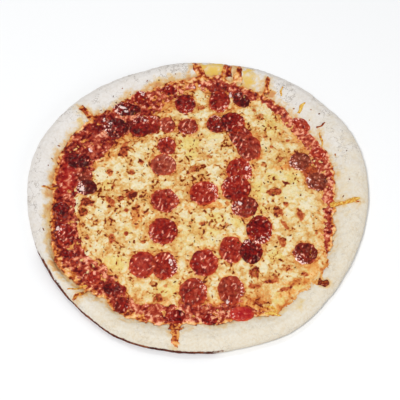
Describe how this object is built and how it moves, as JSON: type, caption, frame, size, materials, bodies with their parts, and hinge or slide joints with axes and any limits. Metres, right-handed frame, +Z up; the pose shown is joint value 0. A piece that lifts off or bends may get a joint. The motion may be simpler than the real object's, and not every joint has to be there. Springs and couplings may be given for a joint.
{
  "type": "pepperoni pizza",
  "caption": "Whole round uncut pepperoni pizza: pale puffy rim, red sauce, melted browned cheese with herb flakes, and slices of cured sausage lying on top.",
  "frame": {"origin": "on the flat underside, under the middle of the pizza's box", "axes": "+Z up, +X to the right and +Y to the back as the picture shows the pizza"},
  "size_m": [0.3338, 0.315, 0.0152],
  "materials": {
    "crust": "dry baked dough, floury and matt",
    "sauce": "wet, glossy",
    "cheese": "melted, greasy, satin",
    "pepperoni": "oily cured sausage"
  },
  "bodies": {
    "root": {"crust": "crust", "sauce": "sauce", "cheese": "cheese", "pepperoni_01": "pepperoni", "pepperoni_02": "pepperoni", "pepperoni_03": "pepperoni", "pepperoni_04": "pepperoni", "pepperoni_05": "pepperoni", "pepperoni_06": "pepperoni", "pepperoni_07": "pepperoni", "pepperoni_08": "pepperoni", "pepperoni_09": "pepperoni", "pepperoni_10": "pepperoni", "pepperoni_11": "pepperoni", "pepperoni_12": "pepperoni", "pepperoni_13": "pepperoni", "pepperoni_14": "pepperoni", "pepperoni_15": "pepperoni", "pepperoni_16": "pepperoni", "pepperoni_17": "pepperoni", "pepperoni_18": "pepperoni", "pepperoni_19": "pepperoni", "pepperoni_20": "pepperoni", "pepperoni_21": "pepperoni", "pepperoni_22": "pepperoni", "pepperoni_23": "pepperoni", "pepperoni_24": "pepperoni", "pepperoni_25": "pepperoni", "pepperoni_26": "pepperoni", "pepperoni_27": "pepperoni", "pepperoni_28": "pepperoni", "pepperoni_29": "pepperoni", "pepperoni_30": "pepperoni", "pepperoni_31": "pepperoni", "pepperoni_32": "pepperoni", "pepperoni_33": "pepperoni", "pepperoni_34": "pepperoni", "pepperoni_35": "pepperoni", "pepperoni_36": "pepperoni", "pepperoni_37": "pepperoni", "pepperoni_38": "pepperoni", "pepperoni_39": "pepperoni", "pepperoni_40": "pepperoni", "pepperoni_41": "pepperoni", "pepperoni_42": "pepperoni", "pepperoni_43": "pepperoni", "pepperoni_44": "pepperoni", "pepperoni_45": "pepperoni", "pepperoni_46": "pepperoni", "pepperoni_47": "pepperoni", "pepperoni_48": "pepperoni"}
  },
  "joints": []
}
